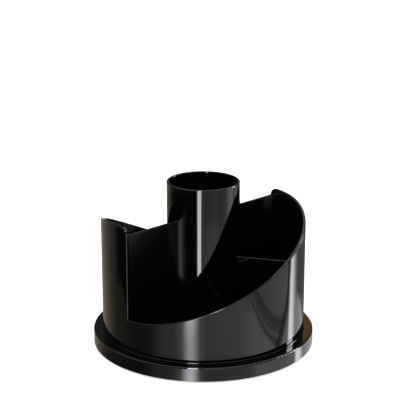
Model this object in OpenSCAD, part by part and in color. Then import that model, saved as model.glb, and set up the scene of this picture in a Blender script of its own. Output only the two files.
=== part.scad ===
// Revolving desk organiser: a round tub of six compartments and a pencil tube,
// carried by a ball race on a flat base dish. The tub's outer wall is two half
// shells, each cut by an oblique plane, so that the rim sweeps up from a low
// step to a tall one on each side.

/* [Base dish] */
// Outer diameter of the base dish
base_d = 145; // [138:1:170]
// Height of the dish's side band
base_h = 9.1; // [8.8:0.1:14]
// Thickness of the side band
base_band = 2.4; // [1.6:0.1:4]
// Thickness of the dish's top plate
base_plate = 2.4; // [1.8:0.1:3.4]
// Radius of the dish's upper edge
base_edge = 1; // [0.4:0.1:1.5]
// Number of radial ribs under the plate
base_ribs = 12; // [6:1:24]
// Thickness of each rib, under the plate and under the tub's floor
rib_t = 1.4; // [1:0.1:2.4]
// How far the ribs stop short of the band's lower edge
rib_lift = 1.2; // [0.6:0.1:3]
// Height of the lip that stands on the dish under the tub's edge and keeps dust out
lip_h = 0.8; // [0.4:0.1:0.9]
// Width of the lip
lip_w = 2.6; // [1.6:0.1:4]
// How far the lip stands out past the tub's wall
lip_out = 0.5; // [0:0.1:1.2]
// Radius of the lip's upper edge
lip_edge = 0.35; // [0.1:0.05:0.4]

/* [Rubber feet] */
// Diameter of a foot
foot_d = 11; // [8:0.5:16]
// Full thickness of a foot
foot_t = 2.6; // [2:0.1:4]
// How far a foot stands below the dish
foot_proud = 1; // [0.6:0.1:1.6]
// Distance from the dish's outer edge to the middle of a foot
foot_inset = 14; // [12:0.5:20]
// Wall of the cup that holds a foot
cup_wall = 1.6; // [1.2:0.1:3]

/* [Ball race] */
// Clear height between the dish and the tub's lower edge
turn_gap = 1.4; // [1.3:0.1:3]
// Diameter of a bearing ball
ball_d = 5; // [4.5:0.1:6]
// Number of bearing balls
ball_count = 16; // [8:1:24]
// Diameter of the circle that the balls run on
race_d = 88; // [70:1:96]
// Width of each race ring
race_w = 9; // [7:0.5:12]
// Thickness of each race ring
race_t = 1.2; // [1:0.1:1.6]
// Depth of the seat that each race ring lies in
race_seat = 0.6; // [0.3:0.1:0.9]
// Depth of the groove that the balls roll in
groove_deep = 0.5; // [0.3:0.05:0.7]
// Running clearance between a ball and its groove
ball_play = 0.05; // [0.03:0.01:0.1]
// Width of the ball cage
cage_w = 8; // [7:0.5:9]
// Thickness of the ball cage
cage_t = 1.6; // [1.2:0.1:2.2]
// Clearance between a ball and its pocket in the cage
pocket_play = 0.15; // [0.1:0.01:0.3]

/* [Pivot] */
// Diameter of the screw's plain shoulder
shoulder_d = 6.4; // [5:0.1:8]
// Running clearance of the shoulder in its bush, on the radius
shoulder_play = 0.05; // [0.02:0.01:0.1]
// Wall of the bush
bush_wall = 2; // [1.2:0.1:3]
// Thickness of the bush's flange
flange_t = 1.2; // [0.8:0.1:1.6]
// How far the flange stands out past the bush's wall
flange_w = 3; // [2:0.1:5]
// Height of the dish's centre boss, from its lower end to the top of the plate
boss_h = 5.8; // [5:0.1:6]
// Wall of the dish's centre boss and of the hub under the tub
boss_wall = 3.2; // [2:0.1:5]
// Free vertical play above the flange and below the boss
end_play = 0.3; // [0.2:0.05:0.5]
// Diameter of the screw's threaded end
thread_d = 4; // [3:0.1:4.6]
// Thickness of floor left above the screw's end
hub_skin = 1.2; // [0.8:0.1:1.6]
// Diameter of the screw's head
head_d = 11.2; // [10:0.1:14]
// Thickness of the screw's head
head_t = 2; // [1.6:0.1:2.2]
// Width across the flats of the head's hexagon socket
socket_w = 3; // [2:0.1:4]
// Depth of the head's socket
socket_deep = 1.2; // [0.8:0.1:1.3]
// Diameter of the thrust washer
washer_d = 17; // [14:0.5:20]
// Thickness of the thrust washer
washer_t = 0.8; // [0.5:0.1:1]
// Free room round the washer, between the ends of the dish's ribs
washer_room = 1; // [0.5:0.1:3]

/* [Tub] */
// Outer diameter of the tub
tub_d = 132.8; // [120:0.1:136]
// Thickness of the tub's outer wall
wall_t = 1.9; // [1.4:0.1:3]
// Thickness of the tub's floor
floor_t = 2.2; // [1.8:0.1:3]
// Number of ribs under the floor
floor_ribs = 12; // [6:1:24]
// Depth of the ribs under the floor
floor_rib_h = 1.8; // [1:0.1:2.4]

/* [Rim] */
// Lowest height of the rim above the tub's lower edge
rim_low = 19.5; // [14:0.1:30]
// Highest height of the rim above the tub's lower edge
rim_high = 79.5; // [66:0.1:90]
// Direction of the near step in the rim, counted from the tub's right side
step_az = 224.5; // [180:0.5:270]
// How far before the step the rim is highest, in degrees
peak_lead = 4.5; // [0:0.5:12]
// Radius of the rim's corner above each step
step_round = 4.5; // [2:0.1:8]

/* [Dividers] */
// Thickness of every divider
divider_t = 1.9; // [1.4:0.1:3]
// Height of the tall dividers above the tub's lower edge
tall_h = 75; // [60:0.1:78]
// Height of the middle dividers above the tub's lower edge
mid_h = 48.3; // [36:0.1:58]
// Height of the low dividers above the tub's lower edge
low_h = 34.5; // [24:0.1:40]
// Radius on the upper edges of every divider
divider_round = 0.5; // [0.2:0.05:0.65]

/* [Pencil tube] */
// Outer diameter of the pencil tube
tube_d = 47.5; // [36:0.5:60]
// Wall of the pencil tube
tube_wall = 1.8; // [1.4:0.1:3]
// Height of the pencil tube above the tub's lower edge
tube_h = 97.3; // [80:0.1:110]
// Radius on the edges of the tube's mouth
mouth_round = 0.6; // [0.2:0.05:0.65]

/* [Hidden] */

$fn = 96;
feet = 4;                 // one foot in each quarter of the dish
half_turn = 180;
compartment = 60;         // each half of the tub holds three equal compartments
seat_gap = 0.02;          // radial clearance of a piece pressed or screwed into its seat
over = 1;                 // how far a cutting shape runs past the face that it cuts

// Radii
base_r = base_d / 2;
band_in = base_r - base_band;
foot_r = foot_d / 2;
foot_ring = base_r - foot_inset;
cup_r = foot_r + cup_wall;
ball_r = ball_d / 2;
race_r = race_d / 2;
race_in = race_r - race_w / 2;
race_out = race_r + race_w / 2;
groove_r = ball_r + ball_play;
shoulder_r = shoulder_d / 2;
bush_in = shoulder_r + shoulder_play;
bush_out = bush_in + bush_wall;
flange_r = bush_out + flange_w;
boss_r = bush_out + boss_wall;
washer_r = washer_d / 2;
pocket_r = max(boss_r, washer_r + washer_room);
thread_r = thread_d / 2;
hub_r = shoulder_r + boss_wall;
tub_r = tub_d / 2;
tub_in = tub_r - wall_t;
lip_r = tub_r + lip_out;
tube_r = tube_d / 2;
tube_in = tube_r - tube_wall;

// Heights above the surface that the feet stand on
dish_z = foot_proud;
dish_top = dish_z + base_h;
plate_z = dish_top - base_plate;
boss_z = dish_top - boss_h;
lower_race_z = dish_top - race_seat;
lower_race_top = lower_race_z + race_t;
ball_z = lower_race_top + groove_r - groove_deep;
upper_race_z = ball_z + groove_r - groove_deep;
floor_z = upper_race_z + race_t - race_seat;
floor_top = floor_z + floor_t;
hub_z = dish_top + flange_t + end_play;
thread_top = floor_top - hub_skin;
washer_z = boss_z - end_play - washer_t;
head_z = washer_z - head_t;
tub_z = dish_top + turn_gap;
rim_mid = tub_z + (rim_low + rim_high) / 2;
rim_swing = (rim_high - rim_low) / 2;
rim_tilt = atan(rim_swing / tub_r);

// A ring standing on the plane z = 0.
module ring(outer, inner, height) {
    difference() {
        cylinder(r = outer, h = height);
        translate([0, 0, -over])
            cylinder(r = inner, h = height + 2 * over);
    }
}

// A rectangle whose outer upper corner is rounded, for turning about Z.
module edge_profile(outer, height, radius) {
    square([outer - radius, height]);
    square([outer, height - radius]);
    translate([outer - radius, height - radius])
        circle(r = radius);
}

// A radial plate as long as the tub's radius, its first face on the azimuth given and
// the two edges along its top rounded.
module radial_plate(azimuth, low, high) {
    rotate([0, 0, azimuth])
        translate([0, -divider_t, 0]) {
            translate([0, 0, low])
                cube([tub_r, divider_t, high - divider_round - low]);
            translate([0, divider_round, low])
                cube([tub_r, divider_t - 2 * divider_round, high - low]);
            for (y = [divider_round, divider_t - divider_round])
                translate([0, y, high - divider_round])
                    rotate([0, 90, 0])
                        cylinder(r = divider_round, h = tub_r);
        }
}

// Spokes of equal ribs between two radii.
module spokes(count, from, to, low, high) {
    for (i = [0:count - 1])
        rotate([0, 0, i * 360 / count])
            translate([from, -rib_t / 2, low])
                cube([to - from, rib_t, high - low]);
}

// The middle of foot i, one in each quarter.
module at_foot(i) {
    rotate([0, 0, (i - 0.5) * 360 / feet])
        translate([foot_ring, 0, 0])
            children();
}

// The dish: a turned shell with a dust lip round its top, ribbed below, with foot cups,
// a race seat and a centre boss.
module base_dish() {
    color("#0d0d0e")
        difference() {
            union() {
                translate([0, 0, dish_z])
                    rotate_extrude()
                        difference() {
                            edge_profile(base_r, base_h, base_edge);
                            square([band_in, base_h - base_plate]);
                        }
                translate([0, 0, dish_top - over / 2])
                    rotate_extrude()
                        difference() {
                            edge_profile(lip_r, over / 2 + lip_h, lip_edge);
                            square([lip_r - lip_w, 2 * over + lip_h]);
                        }
                translate([0, 0, boss_z])
                    cylinder(r = boss_r, h = boss_h - base_plate + over / 2);
                spokes(base_ribs, bush_out + boss_wall / 2, band_in + base_band / 2,
                       dish_z + rib_lift, plate_z + over / 2);
                for (i = [1:feet])
                    at_foot(i)
                        translate([0, 0, dish_z])
                            cylinder(r = cup_r, h = plate_z - dish_z + over / 2);
            }
            translate([0, 0, dish_z - over])
                cylinder(r = pocket_r, h = boss_z - dish_z + over);
            translate([0, 0, boss_z - over])
                cylinder(r = bush_out + seat_gap, h = boss_h + 2 * over);
            translate([0, 0, lower_race_z])
                ring(race_out + seat_gap, race_in - seat_gap, race_seat + over);
            for (i = [1:feet])
                at_foot(i)
                    translate([0, 0, dish_z - over])
                        cylinder(r = foot_r + seat_gap, h = foot_t - foot_proud + over);
        }
}

// A soft disc pressed up into its cup.
module rubber_foot(i) {
    color("#2a2a2a")
        at_foot(i)
            cylinder(r = foot_r, h = foot_t);
}

// One race ring, its groove facing up.
module race_ring() {
    difference() {
        ring(race_out, race_in, race_t);
        translate([0, 0, race_t + groove_r - groove_deep])
            rotate_extrude()
                translate([race_r, 0])
                    circle(r = groove_r);
    }
}

module lower_race() {
    color("#e6e3da")
        translate([0, 0, lower_race_z])
            race_ring();
}

module upper_race() {
    color("#e6e3da")
        translate([0, 0, upper_race_z + race_t])
            mirror([0, 0, 1])
                race_ring();
}

// The balls' places round the race.
module at_balls() {
    for (i = [0:ball_count - 1])
        rotate([0, 0, i * 360 / ball_count])
            translate([race_r, 0, ball_z])
                children();
}

module bearing_balls() {
    color("#c9ccd0")
        at_balls()
            sphere(r = ball_r);
}

// The cage: a flat ring whose ball pockets are zones of a sphere, so it snaps over them.
module ball_cage() {
    color("#e9e4d2")
        difference() {
            translate([0, 0, ball_z - cage_t / 2])
                ring(race_r + cage_w / 2, race_r - cage_w / 2, cage_t);
            at_balls()
                sphere(r = ball_r + pocket_play);
        }
}

// The flanged bush in the dish's centre boss.
module pivot_bush() {
    color("#e9e4d2")
        difference() {
            union() {
                translate([0, 0, boss_z])
                    cylinder(r = bush_out, h = boss_h);
                translate([0, 0, dish_top])
                    cylinder(r = flange_r, h = flange_t);
            }
            translate([0, 0, boss_z - over])
                cylinder(r = bush_in, h = boss_h + flange_t + 2 * over);
        }
}

// The floor: a disc with a hub, a seat for the upper race and ribs either side of it.
module tub_floor() {
    rib_z = floor_z - floor_rib_h;
    color("#0d0d0e")
        difference() {
            union() {
                translate([0, 0, floor_z])
                    cylinder(r = tub_in, h = floor_t);
                translate([0, 0, hub_z])
                    cylinder(r = hub_r, h = floor_z - hub_z + over / 2);
                intersection() {
                    spokes(floor_ribs, hub_r - over, tub_r, rib_z, floor_z + over / 2);
                    union() {
                        translate([0, 0, rib_z - over])
                            ring(tub_in, race_out + rib_t, floor_rib_h + 2 * over);
                        translate([0, 0, rib_z - over])
                            cylinder(r = race_in - rib_t, h = floor_rib_h + 2 * over);
                    }
                }
            }
            translate([0, 0, floor_z - over])
                ring(race_out + seat_gap, race_in - seat_gap, race_seat + over);
            translate([0, 0, hub_z - over])
                cylinder(r = thread_r + seat_gap, h = thread_top - hub_z + over);
        }
}

// Half of the outer wall, from one step to the next. Its rim lies in a plane that is
// tilted towards a point just before the far step, where the corner is rounded.
module sweep_wall(start) {
    reach = 2 * tub_r;
    corner_z = rim_mid + rim_swing * cos(peak_lead);
    color("#0d0d0e")
        rotate([0, 0, start])
            difference() {
                translate([0, 0, tub_z])
                    rotate_extrude(angle = half_turn)
                        translate([tub_in, 0])
                            square([wall_t, rim_high]);
                translate([0, 0, rim_mid])
                    rotate([0, 0, half_turn - peak_lead])
                        rotate([0, -rim_tilt, 0])
                            translate([-reach, -reach, 0])
                                cube([2 * reach, 2 * reach, reach]);
                translate([-tub_r - over, 0, corner_z])
                    difference() {
                        translate([0, -over, -step_round])
                            cube([wall_t + 3 * over, step_round + over, step_round + over]);
                        translate([-over, step_round, -step_round])
                            rotate([0, 90, 0])
                                cylinder(r = step_round, h = wall_t + 5 * over);
                    }
            }
}

// A divider between the pencil tube and the outer wall.
module divider(azimuth, height) {
    color("#0d0d0e")
        difference() {
            intersection() {
                radial_plate(azimuth, floor_top, tub_z + height);
                translate([0, 0, floor_top])
                    cylinder(r = tub_in, h = height);
            }
            translate([0, 0, floor_top - over])
                cylinder(r = tube_r, h = height + 2 * over);
        }
}

// The pencil tube stands on the floor; its mouth has rounded edges.
module pencil_tube() {
    height = tub_z + tube_h - floor_top;
    color("#0d0d0e")
        translate([0, 0, floor_top])
            rotate_extrude()
                translate([tube_in, 0]) {
                    square([tube_wall, height - mouth_round]);
                    translate([mouth_round, 0])
                        square([tube_wall - 2 * mouth_round, height]);
                    for (x = [mouth_round, tube_wall - mouth_round])
                        translate([x, height - mouth_round])
                            circle(r = mouth_round);
                }
}

module thrust_washer() {
    color("#b9bcc0")
        translate([0, 0, washer_z])
            ring(washer_r, bush_in, washer_t);
}

// The shoulder screw: it turns in the bush and its thread holds the tub's hub.
module shoulder_screw() {
    color("#b9bcc0")
        difference() {
            union() {
                translate([0, 0, head_z])
                    cylinder(d = head_d, h = head_t);
                translate([0, 0, head_z])
                    cylinder(r = shoulder_r, h = hub_z - head_z);
                translate([0, 0, head_z])
                    cylinder(r = thread_r, h = thread_top - head_z);
            }
            translate([0, 0, head_z - over])
                cylinder(d = socket_w / cos(30), h = socket_deep + over, $fn = 6);
        }
}

base_dish();
for (i = [1:feet])
    rubber_foot(i);
lower_race();
pivot_bush();
ball_cage();
bearing_balls();
upper_race();
tub_floor();
sweep_wall(step_az);  // sweep_wall_front
sweep_wall(step_az - half_turn);  // sweep_wall_back
divider(step_az, tall_h);  // tall_divider_front
divider(step_az - half_turn, tall_h);  // tall_divider_back
divider(step_az + compartment, low_h);  // low_divider_front
divider(step_az + compartment - half_turn, low_h);  // low_divider_back
divider(step_az + 2 * compartment, mid_h);  // mid_divider_front
divider(step_az + 2 * compartment - half_turn, mid_h);  // mid_divider_back
pencil_tube();
thrust_washer();
shoulder_screw();
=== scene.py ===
import math
import bpy
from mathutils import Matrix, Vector


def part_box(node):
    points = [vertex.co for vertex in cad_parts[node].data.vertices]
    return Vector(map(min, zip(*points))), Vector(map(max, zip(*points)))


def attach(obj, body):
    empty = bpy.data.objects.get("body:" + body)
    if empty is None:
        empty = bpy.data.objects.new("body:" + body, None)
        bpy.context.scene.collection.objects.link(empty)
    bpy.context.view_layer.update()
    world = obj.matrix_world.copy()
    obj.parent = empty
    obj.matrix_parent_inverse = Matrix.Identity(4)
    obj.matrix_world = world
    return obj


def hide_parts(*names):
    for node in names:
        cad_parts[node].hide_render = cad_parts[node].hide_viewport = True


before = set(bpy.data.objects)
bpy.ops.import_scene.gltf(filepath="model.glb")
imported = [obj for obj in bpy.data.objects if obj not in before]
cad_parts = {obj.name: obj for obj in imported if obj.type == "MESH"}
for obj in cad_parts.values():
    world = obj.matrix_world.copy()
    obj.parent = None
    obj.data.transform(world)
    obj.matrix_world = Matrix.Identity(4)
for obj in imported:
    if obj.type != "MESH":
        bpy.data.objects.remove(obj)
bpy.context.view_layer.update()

MM = 0.001
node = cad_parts

# --- Base dish -----------------------------------------------------------------------
# The dish that the tub turns on is a shallow tray, open below, injection moulded in
# glossy black polystyrene. Its material is worked out here, and every other black
# piece of the organiser comes out of the same resin.

POLYSTYRENE = (0.0013, 0.0013, 0.0014, 1)
DUST = (0.055, 0.052, 0.047, 1)
POLISHED = 0.03
SATIN = 0.22
FLOW_DEPTH = 0.10 * MM
SINK_DEPTH = 0.018 * MM
PEEL_DEPTH = 0.0004 * MM


class Wire:
    """An output of a node. Sums on it add Math nodes to its tree; node() adds any other."""

    def __init__(self, tree, socket=None):
        self.tree = tree
        self.socket = socket

    def node(self, kind, settings=None, sockets=None, out=0):
        """A new node: its settings, then a value or a Wire for each socket, by name or number."""
        made = self.tree.nodes.new(kind)
        for name, value in (settings or {}).items():
            if name == "stops":
                set_stops(made.color_ramp, value)
            else:
                setattr(made, name, value)
        for name, value in (sockets or {}).items():
            if isinstance(value, Wire):
                self.tree.links.new(value.socket, made.inputs[name])
            else:
                made.inputs[name].default_value = value
        return Wire(self.tree, made.outputs[out] if made.outputs else None)

    def math(self, operation, *values):
        sockets = dict(enumerate(values))
        return self.node("ShaderNodeMath", {"operation": operation}, sockets)

    def __add__(self, other):
        return self.math("ADD", self, other)

    def __radd__(self, other):
        return self.math("ADD", other, self)

    def __sub__(self, other):
        return self.math("SUBTRACT", self, other)

    def __rsub__(self, other):
        return self.math("SUBTRACT", other, self)

    def __mul__(self, other):
        return self.math("MULTIPLY", self, other)

    def __rmul__(self, other):
        return self.math("MULTIPLY", other, self)

    def __truediv__(self, other):
        return self.math("DIVIDE", self, other)

    def __rtruediv__(self, other):
        return self.math("DIVIDE", other, self)

    def sin(self):
        return self.math("SINE", self)

    def cos(self):
        return self.math("COSINE", self)

    def at_least(self, other):
        return self.math("MAXIMUM", self, other)

    def at_most(self, other):
        return self.math("MINIMUM", self, other)

    def above(self, other):
        return self.math("GREATER_THAN", self, other)

    def below(self, other):
        return self.math("LESS_THAN", self, other)

    def step(self, low, high):
        """0 below low, 1 above high, and smooth between them; the other way round if high is less."""
        rising = {"interpolation_type": "SMOOTHSTEP"}
        if high > low:
            return self.node("ShaderNodeMapRange", rising, {0: self, 1: low, 2: high})
        return 1 - self.step(high, low)

    def noise(self, place, scale, detail=2.0, roughness=0.5):
        sizes = {"Vector": place, "Scale": scale, "Detail": detail, "Roughness": roughness}
        return self.node("ShaderNodeTexNoise", {"normalize": True}, sizes)

    def stretch(self, place, across):
        """The place given, scaled by its own factor along each axis."""
        return self.node("ShaderNodeVectorMath", {"operation": "MULTIPLY"}, {0: place, 1: across})

    def blend(self, share, first, second):
        """A colour between two, by a share from 0 to 1."""
        return self.node("ShaderNodeMix", {"data_type": "RGBA"}, {0: share, 6: first, 7: second}, out=2)


def set_stops(ramp, stops):
    while len(ramp.elements) > 1:
        ramp.elements.remove(ramp.elements[-1])
    for i, (place, grey) in enumerate(stops):
        stop = ramp.elements[0] if i == 0 else ramp.elements.new(place)
        stop.position = place
        stop.color = (grey, grey, grey, 1)


def new_material(name):
    """An empty material, with a Wire to build in and its object coordinates."""
    material = bpy.data.materials.new(name)
    material.use_nodes = True
    tree = material.node_tree
    tree.nodes.clear()
    build = Wire(tree)
    place = build.node("ShaderNodeTexCoord", out=3)
    return material, build, place


def finish_material(build, sockets, bumps=()):
    """Ends a material in a Principled shader, with bumps stacked from coarse to fine."""
    normal = None
    for height, depth in bumps:
        relief = {"Height": height, "Distance": depth, "Strength": 1.0}
        if normal:
            relief["Normal"] = normal
        normal = build.node("ShaderNodeBump", {}, relief)
    if normal:
        sockets = {**sockets, "Normal": normal}
    surface = build.node("ShaderNodeBsdfPrincipled", {}, sockets)
    build.node("ShaderNodeOutputMaterial", {}, {"Surface": surface})


def black_polystyrene(name, polish):
    """Slow waves where the melt flowed and sank, a hint of peel, rubbed hairlines and settled dust."""
    material, build, place = new_material(name)
    up = build.node("ShaderNodeSeparateXYZ", {}, {0: build.node("ShaderNodeNewGeometry", out=1)}, out=2)
    sinks = build.noise(place, 45.0, 1.0)
    flow = build.noise(build.stretch(place, (1, 1, 0.25)), 16.0, 1.0)
    peel = build.noise(place, 1400.0, 1.0)
    specks = build.noise(place, 2600.0, 2.0, 0.7).step(0.66, 0.74)
    film = build.noise(place, 60.0, 3.0, 0.6).step(0.42, 0.78)
    hairs = build.noise(build.stretch(place, (130, 130, 1900)), 1.0, 1.0).step(0.71, 0.76)
    lying = up.step(0.80, 0.99)
    dust = lying * specks * (0.08 + 0.2 * film)
    sockets = {
        "Base Color": build.blend(dust, POLYSTYRENE, DUST),
        "Roughness": polish + 0.02 * film + 0.04 * hairs + 0.35 * dust,
        "IOR": 1.55,
    }
    bumps = [(flow, FLOW_DEPTH), (sinks, SINK_DEPTH), (peel, PEEL_DEPTH)]
    finish_material(build, sockets, bumps)
    return material


def dress(name, material):
    """A CAD node whose shape is right keeps it, and gets the material."""
    node[name].data.materials.clear()
    node[name].data.materials.append(material)


gloss_black = black_polystyrene("black_polystyrene", POLISHED)
dress("base_dish", gloss_black)

# --- Rubber feet ---------------------------------------------------------------------
# Four moulded rubber discs keep the organiser from sliding. Each is pressed up into a
# cup under the dish and stands a millimetre below it, on a rounded edge and with
# shallow rings round its sole for grip.

FEET = 4
FOOT_EDGE = 0.45 * MM
FOOT_SIDES = 48
GRIP_RINGS = 3
GRIP_DEPTH = 0.22 * MM
RUBBER = (0.022, 0.022, 0.023, 1)
RUBBER_BLOOM = (0.05, 0.049, 0.047, 1)
RUBBER_GRAIN = 0.03 * MM
SHARP_ANGLE = 35


def foot_rubber():
    material, build, place = new_material("foot_rubber")
    grain = build.noise(place, 1500.0, 3.0, 0.6)
    bloom = build.noise(place, 160.0, 3.0, 0.6).step(0.4, 0.8)
    sockets = {
        "Base Color": build.blend(bloom, RUBBER, RUBBER_BLOOM),
        "Roughness": 0.72 + 0.14 * grain,
        "IOR": 1.5,
    }
    finish_material(build, sockets, [(grain, RUBBER_GRAIN)])
    return material


def new_tree(name, sizes):
    """A geometry tree with one named input for each size; gives its Wire and a Wire for each input."""
    tree = bpy.data.node_groups.new(name, "GeometryNodeTree")
    tree.interface.new_socket("Geometry", in_out="OUTPUT", socket_type="NodeSocketGeometry")
    kinds = {int: "NodeSocketInt", float: "NodeSocketFloat", bpy.types.Material: "NodeSocketMaterial"}
    for size, value in sizes.items():
        tree.interface.new_socket(size, in_out="INPUT", socket_type=kinds[type(value)])
    given = tree.nodes.new("NodeGroupInput")
    return Wire(tree), {size: Wire(tree, given.outputs[size]) for size in sizes}


def end_tree(build, shape, material):
    """Every tree ends in plain, realized geometry that carries its material."""
    real = build.node("GeometryNodeRealizeInstances", {}, {0: shape})
    dressed = build.node("GeometryNodeSetMaterial", {}, {0: real, "Material": material})
    build.node("NodeGroupOutput", {}, {0: dressed})


def grow(name, build, sizes):
    """Runs a tree on an empty mesh and gives what it makes as a plain mesh object."""
    seed = bpy.data.objects.new(name + "_seed", bpy.data.meshes.new(name + "_seed"))
    bpy.context.scene.collection.objects.link(seed)
    rule = seed.modifiers.new("rule", "NODES")
    rule.node_group = build.tree
    for item in build.tree.interface.items_tree:
        if item.in_out == "INPUT":
            rule[item.identifier] = sizes[item.name]
    made = seed.evaluated_get(bpy.context.evaluated_depsgraph_get())
    mesh = bpy.data.meshes.new_from_object(made)
    bpy.data.objects.remove(seed)
    mesh.name = name
    piece = bpy.data.objects.new(name, mesh)
    bpy.context.scene.collection.objects.link(piece)
    return piece


def split(build, vector):
    """The three parts of a vector."""
    parts = build.node("ShaderNodeSeparateXYZ", {}, {0: vector}).socket.node.outputs
    return [Wire(build.tree, part) for part in parts]


def smooth_shading(piece):
    """Large faces keep their own direction, and only the rounded edges turn between them."""
    piece.data.set_sharp_from_angle(angle=math.radians(SHARP_ANGLE))
    even = piece.modifiers.new("even shading", "WEIGHTED_NORMAL")
    even.keep_sharp = True
    even.weight = 100


def stand_round(build, size, shape):
    """Copies of a shape at even steps round a circle."""
    circle = {"Vertices": size["Count"], "Radius": size["Circle radius"]}
    places = build.node("GeometryNodeMeshCircle", {}, circle)
    turned = build.node("ShaderNodeCombineXYZ", {}, {2: size["Start"]})
    set_out = build.node("GeometryNodeTransform", {}, {"Geometry": places, "Rotation": turned})
    return build.node("GeometryNodeInstanceOnPoints", {}, {"Points": set_out, "Instance": shape})


def wrap(build, shape, reach, turn, level, seam):
    """Sends each point to its reach from the axis, its turn round it and its level, and closes the seams."""
    bent = build.node("ShaderNodeCombineXYZ", {}, {0: reach * turn.cos(), 1: reach * turn.sin(), 2: level})
    moved = build.node("GeometryNodeSetPosition", {}, {"Geometry": shape, "Position": bent})
    closed = build.node("GeometryNodeMergeByDistance", {}, {"Geometry": moved, "Distance": seam})
    return build.node("GeometryNodeSetShadeSmooth", {}, {"Geometry": closed, "Shade Smooth": True})


def foot_tree(sizes):
    """A sheet is wrapped into a disc: x runs out over the sole, up the side and in again, y goes round."""
    build, size = new_tree("rubber_feet", sizes)
    radius, height, edge = size["Foot radius"], size["Foot height"], size["Edge rounding"]
    stretches = 4
    steps = 16
    grid = {"Vertices X": stretches * steps + 1, "Vertices Y": FOOT_SIDES + 1}
    sheet = build.node("GeometryNodeMeshGrid", {}, grid)
    x, y = split(build, build.node("GeometryNodeInputPosition"))[:2]
    along = (x + 0.5) * stretches
    sole = along.at_most(1)
    corner = (along - 1).at_least(0).at_most(1) * (math.pi / 2)
    side = (along - 2).at_least(0).at_most(1)
    top = (along - 3).at_least(0)
    reach = sole * (radius - edge) + corner.sin() * edge - top * radius
    ripple = (sole * size["Grip rings"] * math.pi).sin()
    level = ripple * ripple * size["Grip depth"] + (1 - corner.cos()) * edge + side * (height - edge)
    turn = (0.5 - y) * (2 * math.pi)
    disc = wrap(build, sheet, reach, turn, level, 0.002 * MM)
    end_tree(build, stand_round(build, size, disc), size["Material"])
    return build


foot_low, foot_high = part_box("rubber_foot_1")
foot_place = (foot_low + foot_high) / 2
foot_sizes = {
    "Count": FEET,
    "Circle radius": foot_place.xy.length,
    "Start": math.atan2(foot_place.y, foot_place.x),
    "Foot radius": (foot_high.x - foot_low.x) / 2,
    "Foot height": foot_high.z - foot_low.z,
    "Edge rounding": FOOT_EDGE,
    "Grip rings": GRIP_RINGS,
    "Grip depth": GRIP_DEPTH,
    "Material": foot_rubber(),
}
feet = grow("rubber_feet", foot_tree(foot_sizes), foot_sizes)
smooth_shading(feet)
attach(feet, "base")
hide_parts("rubber_foot_1", "rubber_foot_2", "rubber_foot_3", "rubber_foot_4")

# --- Races, bush and cage -------------------------------------------------------------
# The tub runs on two grooved acetal rings, one seated in the dish and one under the tub.
# A thin cage between them snaps over the balls and keeps them apart, and a flanged bush
# of the same acetal lines the middle of the dish. All four are left in the natural white.

ACETAL = (0.80, 0.78, 0.72, 1)
ACETAL_PALE = (0.86, 0.85, 0.80, 1)
ACETAL_GRAIN = 0.004 * MM


def white_acetal():
    material, build, place = new_material("white_acetal")
    cloud = build.noise(place, 120.0, 3.0, 0.6)
    fine = build.noise(place, 2200.0, 2.0)
    sockets = {
        "Base Color": build.blend(cloud, ACETAL, ACETAL_PALE),
        "Roughness": 0.34 + 0.1 * fine,
        "IOR": 1.48,
        "Subsurface Weight": 0.1,
        "Subsurface Radius": (1.0, 0.8, 0.6),
        "Subsurface Scale": 0.4 * MM,
    }
    finish_material(build, sockets, [(fine, ACETAL_GRAIN)])
    return material


acetal = white_acetal()
for name in ("lower_race", "pivot_bush", "ball_cage", "upper_race"):
    dress(name, acetal)

# --- Balls, washer and screw --------------------------------------------------------------
# Sixteen steel balls carry the tub. One shoulder screw comes up through a thrust washer
# and the bush into the tub's hub, and holds the two halves of the organiser together.

BALLS = 16
BALL_DETAIL = 4
ZINC = (0.60, 0.61, 0.63, 1)
ZINC_BRIGHT = (0.72, 0.72, 0.71, 1)
ZINC_GRAIN = 0.001 * MM


def plated_steel():
    material, build, place = new_material("plated_steel")
    cloud = build.noise(place, 300.0, 4.0, 0.6)
    fine = build.noise(place, 5200.0, 2.0)
    sockets = {
        "Base Color": build.blend(cloud, ZINC, ZINC_BRIGHT),
        "Metallic": 1.0,
        "Roughness": 0.14 + 0.16 * cloud * fine,
    }
    finish_material(build, sockets, [(fine, ZINC_GRAIN)])
    return material


def ball_tree(sizes):
    build, size = new_tree("bearing_balls", sizes)
    measures = {"Radius": size["Ball radius"], "Subdivisions": BALL_DETAIL}
    ball = build.node("GeometryNodeMeshIcoSphere", {}, measures)
    smooth = build.node("GeometryNodeSetShadeSmooth", {}, {"Geometry": ball, "Shade Smooth": True})
    lifted = build.node("ShaderNodeCombineXYZ", {}, {2: size["Ball height"]})
    raised = build.node("GeometryNodeTransform", {}, {"Geometry": smooth, "Translation": lifted})
    end_tree(build, stand_round(build, size, raised), size["Material"])
    return build


steel = plated_steel()
ball_low, ball_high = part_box("bearing_balls")
ball_radius = (ball_high.z - ball_low.z) / 2
ball_sizes = {
    "Count": BALLS,
    "Circle radius": ball_high.x - ball_radius,
    "Start": 0.0,
    "Ball radius": ball_radius,
    "Ball height": ball_low.z + ball_radius,
    "Material": steel,
}
balls = grow("steel_balls", ball_tree(ball_sizes), ball_sizes)
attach(balls, "bearing_cage")
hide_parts("bearing_balls")
dress("thrust_washer", steel)
dress("shoulder_screw", steel)

# --- Tub floor -------------------------------------------------------------------------
# The tub's floor is a flat disc with a hub in the middle for the screw, and low ribs
# underneath on both sides of the upper race. It comes out of the mould with the walls.

dress("tub_floor", gloss_black)

# --- Sweeping outer wall ------------------------------------------------------------------
# The tub's outer wall is two equal half turns, moulded in one with the tub. Each rim climbs
# in one tilted plane from the foot of the last step to its own, where it rounds a corner and
# drops straight down. Rim, corner and step all have the same small rounding.

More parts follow.
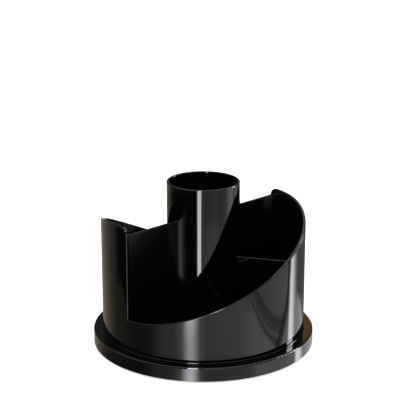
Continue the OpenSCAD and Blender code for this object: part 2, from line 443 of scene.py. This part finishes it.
STEP_AZ = 224.5
PEAK_LEAD = 4.5
STEP_ROUND = 4.5 * MM
RIM_ROUND = 0.5 * MM
FIRST_RISE = 19.5 * MM
RIM_COLUMNS = 300
CORNER_COLUMNS = 14
EDGE_RINGS = 5
tub_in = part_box("tub_floor")[1].y
tub_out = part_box("sweep_wall_back")[1].y
tub_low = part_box("sweep_wall_front")[0].z
rim_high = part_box("sweep_wall_front")[1].z
rim_low = tub_low + FIRST_RISE


def wall_tree(sizes):
    """A closed box is bent round the tub: x follows the rim and the step, y goes inwards, z climbs."""
    build, size = new_tree("sweeping_wall", sizes)
    outer, wall, edge = size["Outer radius"], size["Wall"], size["Edge rounding"]
    rim, bend, rings = size["Rim columns"], size["Corner columns"], size["Edge rings"]
    block = build.node("GeometryNodeMeshCube", {}, {
        "Vertices X": rim + bend + 1,
        "Vertices Y": 2,
        "Vertices Z": rings + 2,
    })
    x, y, z = split(build, build.node("GeometryNodeInputPosition"))
    column = (x + 0.5) * (rim + bend)
    outside = 0.5 - y
    level = (z + 0.5) * (rings + 1)
    on_rim = (column / (rim - 1)).at_most(1)
    on_corner = ((column - rim + 1) / bend).at_least(0).at_most(1)
    on_foot = column.above(rim + bend - 0.5)
    rounding = ((level - 1) / rings).at_least(0) * (math.pi / 2)
    standing = level.at_most(1) * (1 - on_foot)

    lap = edge / outer
    turn = on_rim * (math.pi - size["Corner radius"] / outer + lap) - lap
    plane = size["Rim middle"] + size["Rim swing"] * (turn - size["Peak"]).cos()
    slope = -1 * size["Rim swing"] * (turn - size["Peak"]).sin() / outer
    swept = on_corner * (math.pi / 2)
    lean = swept - slope.math("ARCTANGENT", slope)
    held_back = edge * (1 - rounding.sin())
    angle = turn + (size["Corner radius"] * swept.sin() - held_back * lean.sin()) / outer
    top = plane - size["Corner radius"] * (1 - swept.cos()) - held_back * lean.cos()
    low = size["Lower edge"]
    height = low + standing * (top - low)
    drawn_in = edge * (1 - rounding.cos())
    reach = outer - wall + outside * wall + drawn_in * ((1 - outside) * (1 - on_corner) - outside)

    shape = wrap(build, block, reach, angle + size["Start"], height, 0.0005 * MM)
    end_tree(build, shape, size["Material"])
    return build


wall_sizes = {
    "Rim columns": RIM_COLUMNS,
    "Corner columns": CORNER_COLUMNS,
    "Edge rings": EDGE_RINGS,
    "Outer radius": tub_out,
    "Wall": tub_out - tub_in,
    "Lower edge": tub_low,
    "Rim middle": (rim_low + rim_high) / 2,
    "Rim swing": (rim_high - rim_low) / 2,
    "Peak": math.radians(180 - PEAK_LEAD),
    "Corner radius": STEP_ROUND,
    "Edge rounding": RIM_ROUND,
    "Start": math.radians(STEP_AZ),
    "Material": gloss_black,
}
wall_rule = wall_tree(wall_sizes)
for side, start in (("front", STEP_AZ), ("back", STEP_AZ - 180)):
    wall = grow("sweeping_wall_" + side, wall_rule, {**wall_sizes, "Start": math.radians(start)})
    smooth_shading(wall)
    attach(wall, "tub")
    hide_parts("sweep_wall_" + side)

# --- Dividers and pencil tube ---------------------------------------------------------------
# Six thin walls part the tub round a tall tube for pencils, three to each half turn and
# each lower than the one before. The two tall ones close the steps of the outer wall, and
# their faces are left satin by the mould.

satin_black = black_polystyrene("black_polystyrene_satin", SATIN)
for name in ("tall", "mid", "low"):
    finish = satin_black if name == "tall" else gloss_black
    dress(f"{name}_divider_front", finish)
    dress(f"{name}_divider_back", finish)
dress("pencil_tube", gloss_black)

# --- Floor, light and camera --------------------------------------------------------------------
# A pale paper table, two large soft lamps and a room whose windows and dark corners are what
# the black gloss shows; the paper in that room carries painted shadows and shades. Places in the
# room are in degrees: bearing goes round it from straight behind the organiser by way of its
# left side, and height is up or down from level.

FLOOR_SIZE = 8.0
PAPER = (0.72, 0.72, 0.72, 1)
PAPER_GLOW = 0.55
SOFT_LIGHT = 0.75
TABLETOP_LIGHT = 0.5
FULL_TURN = 360
WINDOW = 165.6
SIDE_WINDOW = 297.2
BACK_LAMP = 352
# The bearing of the middle of a lit bow of paper at the right, crossed by painted shadow.
SHADOWED_BOW = 273.75
DAYLIGHT = (0.97, 0.99, 1.07, 1)
LAMPLIGHT = (1.17, 1.0, 0.78, 1)
OAK = (1.53, 0.83, 0.27, 1)

half = FLOOR_SIZE / 2
corners = [(-half, -half, 0), (half, -half, 0), (half, half, 0), (-half, half, 0)]
floor_mesh = bpy.data.meshes.new("floor")
floor_mesh.from_pydata(corners, [], [(0, 1, 2, 3)])
floor = bpy.data.objects.new("floor", floor_mesh)
bpy.context.scene.collection.objects.link(floor)
floor.visible_glossy = False
paper, build = new_material("paper")[:2]
seen = build.node("ShaderNodeLightPath", out=0)
matt = build.node("ShaderNodeBsdfDiffuse", {}, {"Color": PAPER})
glow = build.node("ShaderNodeEmission", {}, {"Color": (1, 1, 1, 1), "Strength": seen * PAPER_GLOW})
both = build.node("ShaderNodeAddShader", {}, {0: matt, 1: glow})
build.node("ShaderNodeOutputMaterial", {}, {"Surface": both})
floor_mesh.materials.append(paper)


def off(bearing, middle):
    """How many degrees of bearing away from the middle of something."""
    away = bearing - middle
    return away.math("ABSOLUTE", away)


def graded(place, stops):
    """A brightness that changes evenly from stop to stop."""
    return place.node("ShaderNodeValToRGB", {"stops": stops}, {0: place})


def round_the_room(bearing, stops):
    return graded(bearing / FULL_TURN, [(degrees / FULL_TURN, light) for degrees, light in stops])


def low_down(bearing, height):
    """How far a direction lies below the line where nearby things hide the far walls."""
    line = height - 1.3 * bearing.step(88, 72) - 0.65 * bearing.step(296, 306)
    return line.step(-21.2, -21.8)


def room_walls_and_shaded_paper(bearing, height, close_by):
    """Far walls with a dark doorway at the left, and low down the paler paper round the organiser, with the
    organiser's shadow painted on it at the left, painted shade at the back right and more painted shade low
    down towards the left.
    """
    far = round_the_room(bearing, [
        (0, 0.36), (40, 0.23), (63, 0.11), (70, 0.01), (156, 0.01), (163, 0.55), (187, 0.66),
        (222, 0.80), (236, 0.60), (306, 0.80), (314, 0.22), (340, 0.12), (359, 0.30),
    ])
    # The near paper is darkest from bearing 65 to 120, where the organiser's shadow is painted on it.
    near = round_the_room(bearing, [
        (0, 0.36), (40, 0.24), (65, 0.10), (105, 0.07), (120, 0.12), (133, 0.40),
        (187, 0.64), (222, 0.80), (240, 1.05), (308, 0.95), (327, 0.85), (350, 0.40),
    ])
    slant = 15 * (-20.7 - height).at_least(0)
    # corner marks a painted shade: past a slanted line at the back right the near paper is painted darker.
    corner = (bearing - slant).step(315, 321)
    # A painted shade, low down towards the left, darkens the near paper.
    painted_low_shade = (height - 0.5 * bearing.step(130, 100)).step(-23.5, -23.9) * bearing.step(265, 235)
    near = near * (1 - 0.66 * corner) * (1 - 0.3 * painted_low_shade)
    return far * (1 - close_by) + near * close_by


def paper_bow_with_painted_shadows(bearing, height, room):
    """A pale bow of lit paper at the right, crossed by two bands of painted shadow where the rim's shadow
    lies on it, with a painted shade along its far end.
    """
    bow = bearing - SHADOWED_BOW
    over = height + 22.67 - 0.00123 * bow * bow
    # The two dark bands in these stops are painted shadow, where the rim's shadow lies on the paper.
    painted_shadow_bands = graded(over / 2 + 0.5, [
        (0.0, 1.1), (0.27, 1.05), (0.33, 0.34), (0.43, 0.32), (0.48, 1.0), (0.515, 1.0), (0.55, 0.46),
        (0.76, 0.44), (0.83, 0.25), (0.88, 0.27), (0.95, 0.66), (1.0, 0.70),
    ])
    drop = (-19.7 - height).at_least(0)
    end = bearing - 291.5 + 1.8 * drop * drop
    on_shadowed_bow = bearing.step(228, 240) * end.step(2.0, 0.0)
    room = room * (1 - on_shadowed_bow) + painted_shadow_bands * on_shadowed_bow
    shade = end.step(-2.8, -1.2) * (end - 1.5 * drop).step(4.0, 0.5) * height.step(-23.8, -23.2)
    return room * (1 - 0.74 * shade)


def painted_shade_and_glow_above(bearing, height, room):
    """Above the bow, a painted shade darkens the front and a painted glow lightens the right."""
    upper = height.step(-18.2, -17.2)
    dim = 0.38 * upper * off(bearing, 215).step(48, 25)
    pale = 0.6 * upper * off(bearing, 274).step(18, 5)
    return room * (1 - dim) + pale


def tall_window(bearing):
    """The window beside the camera, where nothing stands before it."""
    return 9.4 * off(bearing, WINDOW + 1.8).step(6.8, 4.8)


def window_light(bearing, height, close_by):
    """The tall window, and low down its softer image on what stands near."""
    middle = WINDOW + height.step(-23.6, -24.2)
    strength = 4.0 + 1.8 * height.step(-22.9, -22.0) + 2.9 * height.step(-23.7, -24.3)
    low = off(bearing, middle).step(11, 0) * strength + 0.6 * off(bearing, WINDOW).step(20, 6)
    return tall_window(bearing) * (1 - close_by) + low * close_by


def side_window_light(bearing, height):
    """A narrow window at the right, sharp along its near edge and fading towards the far one."""
    along = bearing - SIDE_WINDOW
    lean = (-20.8 - height).at_least(0) - 1.8 * height.step(-20.2, -19.4)
    fade = along.step(15, 0)
    return 4.1 * (along + lean).step(-5.2, -1.0) * fade * fade * height.step(-17.8, -19.0)


def above_level(bearing, height):
    """A dim back wall with one oak panel, a pale ceiling, and the upper panes of both windows."""
    ceiling = height.step(32, 48)
    back_wall = 0.07 + 0.23 * off(bearing, 353).step(8, 4)
    panes = tall_window(bearing) * (height.step(16, 8) + 6 * height.step(30, 36) * height.step(50, 44))
    side_panes = off(bearing, 296).step(7.5, 4.5) * (8 + 12 * height.step(14, 17)) * height.step(28, 25)
    return back_wall * (1 - ceiling) + 0.9 * ceiling + panes + side_panes


def studio_world():
    """White to the camera, an even grey for soft light, and to the gloss a room with its lights, with
    painted shadows and shades on its paper.
    """
    world = bpy.data.worlds.new("studio")
    bpy.context.scene.world = world
    world.use_nodes = True
    tree = world.node_tree
    tree.nodes.clear()
    build = Wire(tree)
    x, y, z = split(build, build.node("ShaderNodeTexCoord", out=0))
    turns = y.math("ARCTAN2", -1 * x, y) / (2 * math.pi)
    bearing = FULL_TURN * (turns + turns.below(0))
    height = z.math("ARCSINE", z) * (180 / math.pi)

    close_by = low_down(bearing, height)
    room = room_walls_and_shaded_paper(bearing, height, close_by)
    room = paper_bow_with_painted_shadows(bearing, height, room)
    room = painted_shade_and_glow_above(bearing, height, room)
    room = room + window_light(bearing, height, close_by) + side_window_light(bearing, height)
    room = room + 2.6 * off(bearing, BACK_LAMP).step(11, 5) * height.step(-17.5, -15.5)
    # A painted shadow: a thin dark band at the right, just above level with the bow.
    painted_shadow_strip = off(bearing, 300).step(34, 30) * height.step(-18.3, -18.0) * height.step(-17.1, -17.4)
    room = room * (1 - 0.85 * painted_shadow_strip)
    tabletop = height.step(-25.5, -31)
    room = room * (1 - tabletop) + TABLETOP_LIGHT * tabletop
    room = room + 0.35 * off(bearing, 25).step(150, 110) * height.step(-16.3, -15.2)
    raised = height.step(-6, 2)
    room = room * (1 - raised) + above_level(bearing, height) * raised

    rays = build.node("ShaderNodeLightPath").socket.node.outputs
    camera_ray = Wire(tree, rays["Is Camera Ray"])
    glossy_ray = Wire(tree, rays["Is Glossy Ray"])
    strength = camera_ray + glossy_ray * room + SOFT_LIGHT * (1 - camera_ray - glossy_ray)
    lamplit = bearing.step(82, 70) * (1 - raised) * (1 - tabletop)
    panel = raised * height.step(48, 32) * off(bearing, 353).step(6, 3)
    colour = build.blend(glossy_ray * lamplit, (1, 1, 1, 1), LAMPLIGHT)
    colour = build.blend(glossy_ray * panel, colour, OAK)
    colour = build.blend(glossy_ray * off(bearing, WINDOW + 1.4).step(12, 4), colour, DAYLIGHT)
    light = build.node("ShaderNodeBackground", {}, {"Color": colour, "Strength": strength})
    build.node("ShaderNodeOutputWorld", {}, {"Surface": light})


def soft_lamp(name, place, size, watts):
    """A square lamp that points at the organiser. The gloss shows the room instead of it."""
    lamp = bpy.data.lights.new(name, "AREA")
    lamp.shape = "SQUARE"
    lamp.size = size
    lamp.energy = watts
    lamp_object = bpy.data.objects.new(name, lamp)
    bpy.context.scene.collection.objects.link(lamp_object)
    lamp_object.location = place
    aim = Vector((0, 0, 0.05)) - Vector(place)
    lamp_object.rotation_euler = aim.to_track_quat("-Z", "Y").to_euler()
    lamp_object.visible_glossy = False


studio_world()
soft_lamp("overhead", place=(0.0, 0.1, 1.6), size=1.4, watts=18)
soft_lamp("window", place=(-0.5, -1.3, 1.1), size=0.8, watts=8)

CAMERA_PLACE = (-0.00215, -0.7831, 0.3287)
CAMERA_PITCH = 16.57
LENS = 113.8
camera = bpy.data.cameras.new("camera")
camera.lens = LENS
camera_object = bpy.data.objects.new("camera", camera)
camera_object.location = CAMERA_PLACE
camera_object.rotation_euler = (math.radians(90 - CAMERA_PITCH), 0, 0)
bpy.context.scene.collection.objects.link(camera_object)
bpy.context.scene.camera = camera_object
bpy.context.scene.view_settings.view_transform = "Standard"
